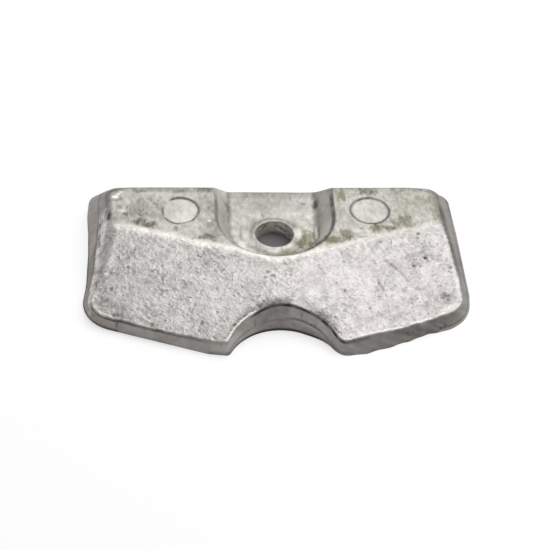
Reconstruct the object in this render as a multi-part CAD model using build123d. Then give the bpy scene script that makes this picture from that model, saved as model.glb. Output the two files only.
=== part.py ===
"""Sacrificial anode: one solid aluminium casting held by a single bolt.

The mounting face lies on the plane Z = 0 and the bolt axis is the Z axis.
X runs from end to end, +Y towards the straight back edge and -Y towards the
V-shaped front. Every side leans inwards by its mould draft, so that the
casting lifts straight out of its mould.
"""
import os
from math import cos, radians, tan

from build123d import *

# Block, measured on the mounting face
BLOCK_WIDTH = 99.0
BLOCK_HEIGHT = 10.0
BACK_REACH = 20.3           # bolt axis to the back edge
APEX_REACH = 45.7           # bolt axis to the point where the two front edges would meet
FRONT_SWEEP = 18.8          # degrees by which each front edge runs back from the apex

# Mould draft, in degrees from upright
END_DRAFT = 27.8
BACK_DRAFT = 40.4
FRONT_DRAFT = 28.0

# Shoulders: two planes that fall from the ridge lines to the thin front edge
RIDGE_SWEEP = 17.5          # degrees by which each ridge line runs back from the middle
RIDGE_MARGIN = 0.6          # pad left between the pocket and each ridge line
FRONT_THICKNESS = 2.9

# Bolt pocket, open at the back
POCKET_WIDTH = 31.6         # between the pads, at their level
POCKET_CENTRE = 2.0         # centre of the round end, behind the bolt axis
POCKET_DRAFT = 33.0
FLOOR_THICKNESS = 3.8
POCKET_ROOT_RADIUS = 2.4    # hollow corner between wall and floor
POCKET_RIM_RADIUS = 0.7     # rounded edge of the opening, on top and at the back

# Bolt hole and the low boss that the bolt head clamps
HOLE_DIAMETER = 9.9
BOSS_WIDTH = 1.1            # from the edge of the hole outwards
BOSS_HEIGHT = 0.3

# Round notch in the front, which clears the round housing beside the anode
NOTCH_INSET = 0.6           # centre of the notch, behind the point where the front edges meet
NOTCH_RADIUS = 13.8         # on the mounting face
NOTCH_DRAFT = 21.4

# Ejector pin marks, one sunk in each pad
MARK_SPACING = 49.9
MARK_CENTRE = 2.6           # behind the bolt axis
MARK_DIAMETER = 10.0
MARK_DEPTH = 0.3

# Rounded corners, seen from above, and the edge around the top
BACK_CORNER_RADIUS = 4.5
FRONT_CORNER_RADIUS = 10.0
NOTCH_LEFT_RADIUS = 1.3     # the left corner of the notch came out crisp
NOTCH_RIGHT_RADIUS = 2.6    # and the right one soft
TOP_EDGE_RADIUS = 0.7

TINY = 0.01                 # allowance when places are compared
UPWARD = 0.9                # least Z of the normal of a pad or a shoulder
SEATED = (Align.CENTER, Align.CENTER, Align.MIN)


def facing(direction: Vector):
    """A test for the upright faces that look mostly in a direction."""
    return lambda face: face.normal_at().dot(direction) > 0.5


def drafted_block() -> Part:
    """The whole five-sided block, with every side leaning in by its draft."""
    half_width = BLOCK_WIDTH / 2
    front_end = half_width * tan(radians(FRONT_SWEEP)) - APEX_REACH
    with BuildPart() as block:
        with BuildSketch():
            Polygon(
                (-half_width, BACK_REACH),
                (-half_width, front_end),
                (0, -APEX_REACH),
                (half_width, front_end),
                (half_width, BACK_REACH),
                align=None,
            )
        extrude(amount=BLOCK_HEIGHT)
        draft(block.faces().filter_by(Axis.X), Plane.XY, END_DRAFT)
        draft(block.faces().filter_by(facing(Vector(0, 1, 0))), Plane.XY, BACK_DRAFT)
        draft(block.faces().filter_by(facing(Vector(0, -1, 0))), Plane.XY, FRONT_DRAFT)
    return block.part


def shoulder_plane(side: int) -> Plane:
    """The plane of the left (-1) or right (1) shoulder, through its ridge line.

    The ridge line passes the pocket's round end by the margin. From the point
    where both lines meet, the plane falls to the thickness of the front edge.
    """
    ridge_reach = (POCKET_WIDTH / 2 + RIDGE_MARGIN) / cos(radians(RIDGE_SWEEP)) - POCKET_CENTRE
    front_lean = FRONT_THICKNESS * tan(radians(FRONT_DRAFT)) / cos(radians(FRONT_SWEEP))
    fall = (BLOCK_HEIGHT - FRONT_THICKNESS) / (APEX_REACH - front_lean - ridge_reach)
    outward = side * fall * tan(radians(RIDGE_SWEEP))
    return Plane((0, -ridge_reach, BLOCK_HEIGHT), z_dir=(outward, -fall, 1))


def notch_tool() -> Part:
    """The cone that cuts the notch, wider at the top by the mould draft."""
    top_radius = NOTCH_RADIUS + BLOCK_HEIGHT * tan(radians(NOTCH_DRAFT))
    with BuildPart() as tool:
        with Locations((0, NOTCH_INSET - APEX_REACH, 0)):
            Cone(NOTCH_RADIUS, top_radius, BLOCK_HEIGHT, align=SEATED)
    return tool.part


def pocket_tool() -> Part:
    """The U that cuts the bolt pocket, with drafted walls and a hollow root."""
    beyond_back = BACK_REACH + POCKET_WIDTH
    with BuildPart() as tool:
        with BuildSketch(Plane.XY.offset(BLOCK_HEIGHT)):
            with Locations((0, POCKET_CENTRE)):
                Circle(POCKET_WIDTH / 2)
                Rectangle(POCKET_WIDTH, beyond_back, align=(Align.CENTER, Align.MIN))
        extrude(amount=FLOOR_THICKNESS - BLOCK_HEIGHT, taper=POCKET_DRAFT)
        floor = tool.faces().sort_by(Axis.Z)[0]
        fillet(floor.edges(), POCKET_ROOT_RADIUS)
    return tool.part


def leaning_edges(block: BuildPart) -> ShapeList:
    """The corner edges, which rise from the mounting face, from front to back."""
    def rises(edge):
        box = edge.bounding_box()
        return box.min.Z < TINY < box.max.Z

    return block.edges().filter_by(rises).sort_by(Axis.Y)


def rim_of(faces: ShapeList) -> ShapeList:
    """The edges that only one of the faces has, which go around them all."""
    edges = faces.edges()
    return ShapeList(edge for edge in edges if sum(edge in face.edges() for face in faces) == 1)


def in_pocket(face: Face) -> bool:
    """Whether a face is wholly one of the pocket's walls, roots or its floor."""
    box = face.bounding_box()
    reach = POCKET_WIDTH / 2 + TINY
    in_width = -reach < box.min.X and box.max.X < reach
    return in_width and box.min.Y > POCKET_CENTRE - reach and box.min.Z > FLOOR_THICKNESS - TINY


def anode_casting() -> Part:
    """The casting, cut and rounded in the order in which its pattern is made."""
    with BuildPart() as anode:
        add(drafted_block())
        for side in (-1, 1):
            split(bisect_by=shoulder_plane(side), keep=Keep.BOTTOM)
        add(notch_tool(), mode=Mode.SUBTRACT)

        corners = leaning_edges(anode)
        notch_left, notch_right = corners[:2].sort_by(Axis.X)
        fillet(notch_left, NOTCH_LEFT_RADIUS)
        fillet(notch_right, NOTCH_RIGHT_RADIUS)
        fillet(corners[2:4], FRONT_CORNER_RADIUS)
        fillet(corners[4:6], BACK_CORNER_RADIUS)
        top = anode.faces().filter_by(lambda face: face.normal_at().Z > UPWARD)
        fillet(rim_of(top), TOP_EDGE_RADIUS)

        add(pocket_tool(), mode=Mode.SUBTRACT)
        fillet(rim_of(anode.faces().filter_by(in_pocket)), POCKET_RIM_RADIUS)

        with Locations((0, 0, FLOOR_THICKNESS)):
            Cylinder(HOLE_DIAMETER / 2 + BOSS_WIDTH, BOSS_HEIGHT, align=SEATED)
        Cylinder(HOLE_DIAMETER / 2, BLOCK_HEIGHT, align=SEATED, mode=Mode.SUBTRACT)
        with Locations((0, MARK_CENTRE, BLOCK_HEIGHT - MARK_DEPTH)):
            with GridLocations(MARK_SPACING, 0, 2, 1):
                Cylinder(MARK_DIAMETER / 2, BLOCK_HEIGHT, align=SEATED, mode=Mode.SUBTRACT)
    return anode.part


if __name__ == "__main__":
    os.makedirs("parts", exist_ok=True)
    casting = anode_casting()
    export_step(casting, "parts/anode_casting.step")
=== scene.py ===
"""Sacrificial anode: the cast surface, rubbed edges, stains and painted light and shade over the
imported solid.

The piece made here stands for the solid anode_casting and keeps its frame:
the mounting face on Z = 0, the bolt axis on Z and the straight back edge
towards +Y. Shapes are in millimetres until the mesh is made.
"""
from math import cos, pi, radians, sin, sqrt, tan
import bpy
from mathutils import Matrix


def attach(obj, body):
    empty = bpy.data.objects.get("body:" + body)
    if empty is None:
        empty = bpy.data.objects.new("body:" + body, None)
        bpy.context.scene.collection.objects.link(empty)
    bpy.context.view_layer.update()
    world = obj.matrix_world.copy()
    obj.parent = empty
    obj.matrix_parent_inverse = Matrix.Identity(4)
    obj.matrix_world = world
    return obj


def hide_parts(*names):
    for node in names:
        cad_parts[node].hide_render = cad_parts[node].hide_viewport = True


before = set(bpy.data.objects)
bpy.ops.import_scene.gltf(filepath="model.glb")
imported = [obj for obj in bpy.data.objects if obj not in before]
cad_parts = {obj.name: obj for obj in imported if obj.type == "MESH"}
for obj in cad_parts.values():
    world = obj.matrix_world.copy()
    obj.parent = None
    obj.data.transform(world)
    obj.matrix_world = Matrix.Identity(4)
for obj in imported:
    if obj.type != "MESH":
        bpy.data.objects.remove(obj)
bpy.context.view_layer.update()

from types import SimpleNamespace

import bpy
import numpy as np
from mathutils import Matrix, Vector
from mathutils.geometry import delaunay_2d_cdt

MM = 0.001

# The block, its leaning sides and the two shoulders
HALF_WIDTH = 49.5
HEIGHT = 10.0
BACK = 20.3
APEX = 45.7
FRONT_SWEEP = radians(18.8)
END_DRAFT = radians(27.8)
BACK_DRAFT = radians(40.4)
FRONT_DRAFT = radians(28.0)
RIDGE_REACH = 15.0          # bolt axis to where the two ridge lines would meet
RIDGE_SWEEP = radians(17.5)
FALL = 0.2442               # of a shoulder, in mm down for each mm forward
STEEPNESS = sqrt(1 + FALL**2 * (1 + tan(RIDGE_SWEEP)**2))   # along a shoulder's normal

# The bolt pocket, its hole and the low boss
POCKET_HALF = 15.6
POCKET_CENTRE = 1.0
POCKET_DRAFT = radians(33.0)
POCKET_DRAG = (0.03, 0.1)   # unevenness of its left and right walls
ROUND_END_RUN = 20.0        # mm along the round end for each radian
FLOOR = 3.8
HOLE_RADIUS = 4.95
HOLE_ROUGHNESS = 0.12       # of the cast wall of the hole
BOSS_RADIUS = 6.05
BOSS_HEIGHT = 0.3
BOSS_BLEND = (0.9, 0.7)     # outside and inside the boss's edge

# The notch
NOTCH_CENTRE = -45.1
NOTCH_RADIUS = 13.8
NOTCH_DRAFT = radians(21.4)
NOTCH_FLARE = 1.0           # by which the notch opens towards its right corner
NOTCH_FLARE_LOSS = 0.6      # share of that lost at the top
NOTCH_LEFT_STEEPER = 0.65   # by which its left side leans in less at the top
NOTCH_WALL = 5.0            # widest that its leaning wall is, seen from above

# Ledges that the mould joints left on the walls: places along x or y, and height
NOTCH_LEDGE = (
    [-13.0, -11.4, -9.3, -6.0, -2.0, 0.0, 3.1, 5.6, 7.8, 9.7, 11.2, 13.0],
    [0.4, 0.9, 1.45, 2.1, 2.6, 2.65, 2.7, 2.55, 2.2, 1.8, 1.1, 0.4],
)
LEFT_LEDGE = ([-28.0, -17.5, -11.0, -6.0, 11.0, 20.0], [1.6, 2.7, 3.5, 4.1, 6.0, 7.0])
RIGHT_LEDGE = ([-24.0, -0.8, 4.0, 11.7, 14.7, 18.0], [0.4, 0.7, 1.0, 0.5, 1.3, 1.6])
LEDGE_DEPTH = 0.3
LEFT_LEDGE_SHARE = 0.6      # share of the depth that the left end's ledge has
FAINT_LEDGE = 0.35          # share of it that is left where the notch's ledge is faint

# The ejector pin marks
MARK_X = 24.95
MARK_Y = 2.6
MARK_RADIUS = 5.0
MARK_DEPTH = 0.2
LEFT_MARK_SQUASH = 1.17     # of the left mark, on its outer side
GROOVE_DEPTH = 0.3          # of the groove that each pin left around itself
LEFT_GROOVE = (             # degrees around the mark, and how open the groove is there
    [-180, -165, -150, -135, -95, -80, -60, -45, -30, 0, 30, 60, 110, 130, 150, 170],
    [0.7, 0.8, 0.3, 0.9, 0.9, 0.1, 0.2, 0.7, 0.2, 0.5, 0.7, 0.95, 1.0, 0.4, 0.3, 0.7],
)
RIGHT_GROOVE = (
    [-180, -110, -95, -70, -40, 0, 60, 90, 120, 150],
    [0.75, 0.7, 0.95, 0.95, 0.75, 0.7, 0.8, 0.95, 0.95, 0.75],
)

# How the casting strays from its drawing at the mounting face: places, and mm inwards
LEFT_END = (
    [-21.0, -18.9, -16.8, -14.6, -3.4, 3.6, 8.3, 10.7, 13.2, 15.6],
    [0.35, 0.53, 0.76, 0.88, 0.86, 0.55, 0.16, 0.0, 0.0, 0.1],
)
RIGHT_END = (
    [-24.0, -21.6, -19.4, -8.2, 3.5, 13.2, 15.7],
    [0.4, 0.3, 0.0, 0.0, 0.02, 0.26, 0.3],
)
FRONT_FOOT = (
    [-49.5, -18.0, -16.0, -14.0, -12.0, 12.0, 17.0, 21.0, 28.0, 32.0, 36.0, 49.5],
    [0.45, 0.4, 0.8, 1.2, 1.4, 0.4, -0.1, -0.7, -0.7, -0.45, -0.05, 0.0],
)
FRONT_BROW = (              # the same at the top of the front face
    [-42.0, -36.0, -32.0, -20.0, -14.5, -12.0, 12.0, 17.0, 21.0, 26.0, 30.0, 38.0, 43.0],
    [-0.15, -0.15, -0.3, 0.1, 0.5, 0.5, 0.35, 0.35, 0.3, 0.0, -0.1, 0.05, 0.3],
)
BROW_LEVEL = 3.0            # height of that top
BROW_WANDER = 0.35          # how far the two wander at random
FOOT_WANDER = 0.55

# Rounding of the edges
FRONT_CORNER = 12.0
FRONT_CORNER_TAPER = 1.4    # by which it gets crisper for each mm up
FRONT_CORNER_TOP = 4.0      # height from which it stays as it is
BACK_CORNER = 4.5
NOTCH_LEFT_CORNER = 1.1
NOTCH_RIGHT_CORNER = 3.4    # at the foot
NOTCH_CORNER_TAPER = 0.9    # by which it is crisper at the top
FRONT_EDGE = 0.45
LEFT_EDGE = 4.0             # along the shoulder's end
RIGHT_EDGE = 0.9
LEFT_PAD_EDGE = 2.4
RIGHT_PAD_EDGE = 3.6
BACK_EDGE = 0.9
TOP_EDGE_COSINE = 0.5       # taken for every side's normal with the top's
RIDGE_ROUNDING = 5.0
CREASE_ROUNDING = 2.0
POCKET_ROOT = 2.4
POCKET_RIM = 0.8
HOLE_EDGE = 0.3

# Flaws of the cast surface, in mm
SWELL = 0.16                # slow rise and fall of every face
RIPPLE = 0.06
GRAIN_DEPTH = (0.13, 0.15)  # of the shoulders, everywhere and more where grains crowd
LEFT_CREST_DEPTH = 0.08     # by which the left shoulder is worn low beside its edge
PIT_COUNT = 330
SCRATCH_DEPTH = 0.16
DENTS = (                   # place, half sizes and depth in mm
    (-43.4, 1.0, 1.1, 2.6, 0.35),
    (-41.6, 7.4, 2.2, 1.2, 0.18),
    (-39.0, 1.8, 1.2, 1.2, 0.12),
    (11.6, 11.8, 1.2, 2.4, 0.3),
    (-34.0, -2.9, 3.2, 1.0, 0.12),
    (32.5, -1.0, 3.0, 2.2, 0.10),
    (36.0, 4.0, 4.0, 4.0, 0.10),
)
PITS = (                    # place, half sizes and depth in mm
    (37.9, -13.2, 0.7, 0.6, 0.25),
    (34.7, -15.7, 0.6, 0.5, 0.22),
    (36.7, -6.0, 0.5, 0.5, 0.2),
)
SCRATCHES = (               # lines from place to place
    ((27.6, -14.6), (30.6, -17.2)),
    ((30.6, -17.2), (32.9, -20.4)),
    ((25.0, -20.6), (26.2, -23.4)),
)
DASHES = (                  # groups of short upright scuffs: place, half sizes, and how many
    (33.2, -1.9, 3.0, 2.2, 22),
    (29.4, -4.4, 1.6, 0.6, 7),
    (26.0, -4.4, 1.6, 1.4, 6),
    (17.7, -7.2, 1.5, 2.0, 6),
    (-34.5, 2.6, 4.2, 4.4, 30),
    (-25.9, -4.8, 1.0, 0.7, 4),
    (-17.8, -7.6, 2.0, 0.7, 9),
    (-33.8, -2.8, 3.0, 1.2, 8),
    (25.0, 10.0, 3.0, 1.0, 5),
)

# Patches: place, half width and half depth in mm, and strength
STAINS = (
    (-35.2, -2.0, 2.0, 1.5, 1.0),
    (-32.4, -3.0, 2.0, 1.3, 1.0),
    (-38.9, 1.2, 1.0, 1.2, 0.9),
    (-34.7, 3.0, 4.2, 3.8, 0.35),
    (-17.8, -7.7, 2.2, 1.2, 0.9),
    (-35.7, 10.2, 1.4, 0.9, 0.6),
    (-24.4, 10.2, 1.2, 0.9, 0.6),
    (-25.9, -4.8, 1.0, 1.0, 0.5),
    (24.7, 9.8, 2.6, 1.6, 1.0),
    (17.6, 8.7, 1.7, 2.8, 0.8),
    (17.7, -7.0, 1.7, 2.6, 0.85),
    (14.4, -8.8, 4.0, 1.6, 1.0),
    (26.0, -4.0, 1.8, 2.2, 1.0),
    (33.2, -1.9, 3.2, 2.6, 0.7),
    (29.4, -4.4, 1.8, 1.1, 0.9),
    (42.3, 3.3, 1.5, 6.0, 0.6),
    (37.0, 5.5, 4.0, 5.0, 0.3),
    (8.2, -2.6, 2.6, 4.2, 1.0),
    (4.0, -6.8, 3.0, 1.4, 0.8),
    (10.8, -7.0, 3.2, 3.2, 1.0),
    (-11.7, 9.5, 1.1, 3.4, 0.45),
    (-1.0, 16.3, 9.0, 1.0, 0.25),
)
DARK_SPOTS = (
    (11.5, 11.3, 0.9, 1.8, 0.6),
    (8.4, 12.2, 0.9, 0.6, 0.45),
    (-43.1, 0.7, 0.6, 1.7, 0.8),
    (-40.5, 3.9, 1.2, 1.0, 0.35),
    (-8.8, -0.4, 0.35, 2.4, 0.4),
    (10.5, 0.1, 0.35, 3.0, 0.35),
    (11.8, 0.3, 0.35, 2.8, 0.3),
    (37.9, -13.2, 0.7, 0.6, 0.7),
    (34.9, -15.7, 0.6, 0.6, 0.5),
    (-2.8, -19.4, 0.6, 0.5, 0.6),
    (-1.4, -20.6, 0.7, 0.5, 0.6),
    (-3.6, -21.0, 0.5, 0.4, 0.5),
    (5.9, -3.8, 1.5, 3.2, 0.3),
    (36.7, -6.0, 0.6, 0.5, 0.5),
)
# Bright nicks; the first three, on the left pad's corner, are painted glints
NICKS_AND_GLINTS = (
    (-41.6, 8.0, 0.9, 0.5, 0.8),
    (-40.9, 8.9, 0.8, 0.5, 0.8),
    (-40.1, 9.7, 0.7, 0.5, 0.7),
    (11.15, 0.1, 0.3, 2.8, 0.8),
    (6.3, 0.4, 1.2, 2.4, 0.5),
    (-8.6, -4.5, 1.4, 2.2, 0.35),
    (40.8, 11.1, 1.1, 0.4, 0.8),
    (37.5, 11.3, 0.7, 0.3, 0.5),
    (-17.2, -1.6, 0.5, 0.4, 0.8),
)

# Tone of the metal: added to PLAIN_TONE, at places along x or y
PLAIN_TONE = 0.47
SHOULDER_TONES = ([-47, -40, -25, 0, 25, 47], [0.07, 0.1, 0.14, 0.1, 0.1, 0.06])
# Painted light and shade along the sides: the left front and the notch lighter than the right front
SIDE_TONES = (
    [-45, -42, -38, -28, -20, -14, -12, -9, -6, 0, 11, 15, 22, 30, 36, 42],
    [0.12, 0.12, 0.18, 0.18, 0.3, 0.36, 0.38, 0.3, 0.06, 0.04, 0.26, 0.26, 0.26, 0.06, -0.02, 0.0],
)
LEFT_SIDE_TONES = (
    [-28, -24, -16.5, -11, -5.5, 0, 5.5, 11], [0.0, -0.06, -0.14, -0.2, 0.0, 0.14, 0.06, 0.0])
LEFT_BORDER_TONES = (
    [-29, -27, -24, -21, -18, -14, -9], [-0.1, -0.3, -0.3, -0.1, 0.08, 0.02, 0.1])
LEFT_WALL_TONE = 0.36       # of the pocket
RIGHT_WALL_TONES = ([-8, -3, 0, 4, 10, 16], [0.4, 0.7, 0.6, 0.34, 0.2, -0.05])
NOTCH_BORDER_DARK = (       # of the shoulders beside the notch
    [-13, -11, -3, 1, 3.5, 6, 8, 11, 13.5, 15],
    [0.1, 0.35, 0.4, 0.4, 0.0, 0.05, 0.3, 0.4, 0.3, 0.0],
)

# Paler and darker areas: place, half width and half depth in mm, and tone
PAD_SHADES = (
    (-29.0, 8.0, 4.0, 2.5, 0.14),
    (33.0, 8.5, 4.5, 3.5, -0.16),
    (39.0, 9.5, 2.5, 2.0, 0.14),
)
LEFT_BORDER_SHADES = ((-41.3, -6.0, 2.2, 5.5, -0.16),)
LEFT_END_SHADES = ((-45.5, -1.0, 1.3, 3.6, -0.45),)
LEFT_END_LINES = (          # dark lines: place along y, height over the ledge, half sizes, tone
    (-1.0, 0.95, 5.0, 1.1, -0.5),
    (-6.0, -0.9, 5.0, 1.4, -0.3),
)
# Where the painted highlight along the left end's crest lies
LEFT_CREST = ([-10, -3, 1], [2.6, 4.2, 4.6])    # along y, height over the ledge

# Where edges are rubbed bright, and painted shade under the top and at the foot: places along x,
# how much
RIDGE_SHIFT = ([-10, -2, 7, 12, 25, 35], [0.06, 0.14, 0.12, 0.03, 0.0, -0.03])     # in mm
RIDGE_WEAR = (
    [-44, -35, -20, -10, 0, 8, 18, 24, 44],
    [0.55, 0.88, 0.88, 0.62, 0.72, 0.5, 0.28, 0.3, 0.2],
)
FRONT_WEAR = (
    [-14, -13, -10, -7, -5, 12, 16, 40, 44], [0.5, 0.9, 1.3, 1.0, 0.0, 0.0, 0.6, 0.8, 0.2])
# Painted shade just under the top of the sides, along x
BROW_SHADE = (
    [-48, -42, -37, -34, -26, -20, -17, -13, -8, -6.5, -5, 11, 14, 17, 20, 24, 28],
    [0.8, 1.2, 1.2, 0.8, 0.75, 0.5, 0.15, 0.1, 0.1, 0.8, 1.15, 1.15, 1.0, 0.8, 0.35, 0.05, 0.0],
)
# Painted contact shadow at the foot of the sides: in the notch, on the left end and elsewhere
NOTCH_CONTACT_SHADOW = ([-12, -7, 8, 12, 14.5], [0.7, 1.2, 1.2, 0.5, 0.12])
LEFT_CONTACT_SHADOW = 0.8
PLAIN_CONTACT_SHADOW = 0.12            # elsewhere

# The mesh: a lattice, with three times the points where the surface bends
FINE = 0.186
BEND = 0.12                 # least bend, in radians from point to point, that gets them
WALL_STEEPNESS = 1.0        # square of the slope from which a face gets them too
EDGE_STEP = 0.2             # between points along the outline and the hole
EDGE_MARGIN = 0.08          # that the lattice keeps from them
HOLE_RINGS = 11
SMOOTH_UP_TO = radians(50)  # between faces; a sharper edge shows as one

# Colours of the metal: the darkest and the palest of each skin, and what lies on it
SMOOTH_SKIN = ("787770", "ECEAE2")
ROUGH_SKIN = ("74706D", "ECE8E6")
# The sides' colours are darker, partly as painted shade
SIDE_SKIN_AND_SHADE = ("57534F", "B9B5B1")
GREY_STAIN = "777067"
OLIVE_STAIN = "827D67"
# Dark colour for dirt, and for painted shade under the top, at the foot, in creases and along the
# rim
DIRT_AND_SHADE = "45413D"
# Painted highlight on the ledges' steps
LIT_STEP = "D8D4D0"
# Colour of rubbed metal, and of painted highlights and painted light
RUBBED_METAL_AND_HIGHLIGHT = "F6F2EC"

# Patterns of the metal, in mm
GRAIN_SIZE = 1.1            # of the shoulders; the finest grit is drawn this coarse to show
PINHOLE_SPACING = 1.1
CROWD_SIZE = 6.0            # of the areas with many pinholes
SKIN_SIZE = 1.3             # of the smooth faces
SKIN_DRAWN = (1.0, 0.6, 0.6)    # scale of it along X, Y and Z
BUMP_DEPTH = 0.15
# Painted highlight on each ledge's step, and painted shade in its crease
STEP_LINE = (-0.15, 0.35, 0.5)      # height over the ledge, half width, strength
CREASE_LINE = (0.4, 0.4, 0.4)

# The studio, in metres and radians
FLOOR_LIFT = 0.35           # glow that makes the floor white
FLOOR_REACH = 4.0
FLOOR_LEVEL = -0.05 * MM
CARD_REACH = 8 * MM
CARD_LEVEL = -0.02 * MM
ROOM_LIGHT = 0.35
SOFTBOX_PLACE = (0.24, 0.30, 0.78)
SOFTBOX_SIZE = (0.9, 0.7)
SOFTBOX_WATTS = 5.3
CAMERA_PLACE = (-24.63, -271.75, 251.01)    # in mm
CAMERA_AZIMUTH = radians(-5.357)
CAMERA_ELEVATION = radians(43.834)
CAMERA_ROLL = radians(3.573)
LENS = 91.64
SENSOR = 36.0


# ---------------------------------------------------------------- smooth steps and edges

def scatter(x, y, size, seed, stretch=1.0):
    """Smooth random values from 0 to 1, one bump for each size in mm, in rows that wander."""
    columns, rows = 257, 263
    across, up = np.asarray(x) / size, np.asarray(y) / (size * stretch)
    u = across + 0.6 * np.sin(1.3 * up + seed) + 200.0
    v = up + 0.6 * np.sin(1.1 * across + 2.0 * seed) + 200.0
    i, j = np.floor(u).astype(int), np.floor(v).astype(int)
    table = np.random.RandomState(seed).rand(columns, rows)
    s, t = u - i, v - j
    s, t = s * s * (3 - 2 * s), t * t * (3 - 2 * t)
    left, right, near_row, far_row = i % columns, (i + 1) % columns, j % rows, (j + 1) % rows
    low = table[left, near_row] * (1 - s) + table[right, near_row] * s
    high = table[left, far_row] * (1 - s) + table[right, far_row] * s
    return low * (1 - t) + high * t


def ease(value, start, end):
    """0 before start, 1 after end, and smooth between them."""
    t = np.clip((value - start) / (end - start), 0, 1)
    return t * t * (3 - 2 * t)


def near(value, middle, half):
    """1 at the middle and 0 at half a width from it."""
    return 1 - ease(np.abs(value - middle), 0, half)


def rounded(a, b, radius, cosine):
    """Height over the rounded edge of two surfaces, from the height over each.

    cosine is that of the angle between their outward normals.
    """
    u, v = a + radius, b + radius
    in_arc = (u > cosine * v) & (v > cosine * u)
    square = (u * u + v * v - 2 * cosine * u * v) / (1 - cosine**2)
    return np.where(in_arc, np.sqrt(np.maximum(square, 0)) - radius, np.maximum(a, b))


# ---------------------------------------------------------------- cast shape

def above_ledge(z, line):
    """How far a wall stands back above the ledge that a mould joint left, from 0 to 1."""
    return ease(z - line, -0.15, 0.2)


def over_end(x, y, z):
    """Height over the nearer end. The left one is hollow, the right one bows."""
    left = x < 0
    sunk = np.where(left, np.interp(y, *LEFT_END), np.interp(y, *RIGHT_END))
    step = np.where(left, LEFT_LEDGE_SHARE * above_ledge(z, np.interp(y, *LEFT_LEDGE)),
                    above_ledge(z, np.interp(y, *RIGHT_LEDGE))) * LEDGE_DEPTH
    return (np.abs(x) - HALF_WIDTH + sunk + step) * cos(END_DRAFT) + z * sin(END_DRAFT)


def over_front(x, y, z, up):
    """Height over the front, whose top and foot wander. up is 0 at the foot and 1 at the top."""
    plan = sin(FRONT_SWEEP) * np.abs(x) - cos(FRONT_SWEEP) * (y + APEX)
    plan = plan + np.interp(x, *FRONT_FOOT) * (1 - up) + np.interp(x, *FRONT_BROW) * up
    plan = plan + BROW_WANDER * up * (scatter(x, 0 * x, 1.9, seed=81) - 0.5)
    plan = plan + FOOT_WANDER * (1 - up) * (
        scatter(x, 0 * x, 2.7, seed=82) - 0.5) * ease(x, 14, 18)
    return plan * cos(FRONT_DRAFT) + z * sin(FRONT_DRAFT)


def over_notch(x, y, z, up):
    """Height over the notch's wall, seen from inside the metal."""
    flare = ease(x, 6.0, 13.5) * NOTCH_FLARE * (1 - NOTCH_FLARE_LOSS * up)
    reach = np.hypot(x, y - NOTCH_CENTRE) - flare
    joint = above_ledge(z, np.interp(x, *NOTCH_LEDGE)) * LEDGE_DEPTH
    joint *= FAINT_LEDGE + (1 - FAINT_LEDGE) * np.maximum(ease(x, -2.0, 3.0), ease(-x, 6.0, 9.0))
    joint -= NOTCH_LEFT_STEEPER * up * ease(-x, 1, 9)
    return (NOTCH_RADIUS - reach + joint) * cos(NOTCH_DRAFT) + z * sin(NOTCH_DRAFT)


def over_sides(x, y, z):
    """Height over the leaning sides, with the corners rounded."""
    up = np.clip(z, 0, BROW_LEVEL) / BROW_LEVEL
    back = (y - BACK) * cos(BACK_DRAFT) + z * sin(BACK_DRAFT)
    meeting = sin(FRONT_SWEEP) * cos(END_DRAFT) * cos(FRONT_DRAFT)
    meeting += sin(END_DRAFT) * sin(FRONT_DRAFT)
    corner = FRONT_CORNER - FRONT_CORNER_TAPER * np.clip(z, 0, FRONT_CORNER_TOP)
    sides = rounded(over_end(x, y, z), over_front(x, y, z, up), corner, meeting)
    sides = rounded(sides, back, BACK_CORNER, sin(END_DRAFT) * sin(BACK_DRAFT))
    corner = np.where(x < 0, NOTCH_LEFT_CORNER, NOTCH_RIGHT_CORNER - NOTCH_CORNER_TAPER * up)
    return rounded(sides, over_notch(x, y, z, up), corner, sin(FRONT_DRAFT) * sin(NOTCH_DRAFT))


def over_shoulder(x, y, z):
    """Height over the two shoulders, with the crease between them rounded."""
    aside = np.sqrt(x * x + CREASE_ROUNDING**2) - CREASE_ROUNDING
    return (z - HEIGHT + FALL * (tan(RIDGE_SWEEP) * aside - RIDGE_REACH - y)) / STEEPNESS


def past_ridge(x, y, z):
    """How far below the pads' level the shoulder lies: above 0 in front of the ridge."""
    return over_shoulder(x, y, z) - (z - HEIGHT)


def over_top(x, y, z):
    """Height over the pads and the shoulders."""
    return rounded(z - HEIGHT, over_shoulder(x, y, z), RIDGE_ROUNDING, 1 / STEEPNESS)


def top_edge(x, y):
    """Radius of the edge around the top."""
    shoulder = np.where(x < 0, LEFT_EDGE, RIGHT_EDGE)
    end = shoulder + (np.where(x < 0, LEFT_PAD_EDGE, RIGHT_PAD_EDGE) - shoulder) * ease(y, -7, 1)
    at_end = ease(np.abs(x), 34, 42)
    side = FRONT_EDGE + (end - FRONT_EDGE) * at_end * ease(y, -25, -18)
    return side + (BACK_EDGE - side) * ease(y, 9, 14) * (1 - at_end)


def over_pocket(x, y, z):
    """Height over the pocket's walls and floor, seen from inside the metal."""
    straight = y > POCKET_CENTRE
    aside = np.where(straight, np.abs(x), np.hypot(x, y - POCKET_CENTRE))
    turn = np.arctan2(np.abs(x), POCKET_CENTRE - y + 0.01)
    along = np.where(straight, y, -ROUND_END_RUN * turn)
    drag = np.where(x < 0, *POCKET_DRAG) * (scatter(along, np.sign(x) * 9, 1.1, seed=51) - 0.5)
    wall = (aside - POCKET_HALF + drag + (HEIGHT - z) * tan(POCKET_DRAFT)) * cos(POCKET_DRAFT)
    outside, inside = BOSS_BLEND
    boss = BOSS_HEIGHT * ease(-np.hypot(x, y), -BOSS_RADIUS - outside, -BOSS_RADIUS + inside)
    return rounded(wall, FLOOR + boss - z, POCKET_ROOT, sin(POCKET_DRAFT))


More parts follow.
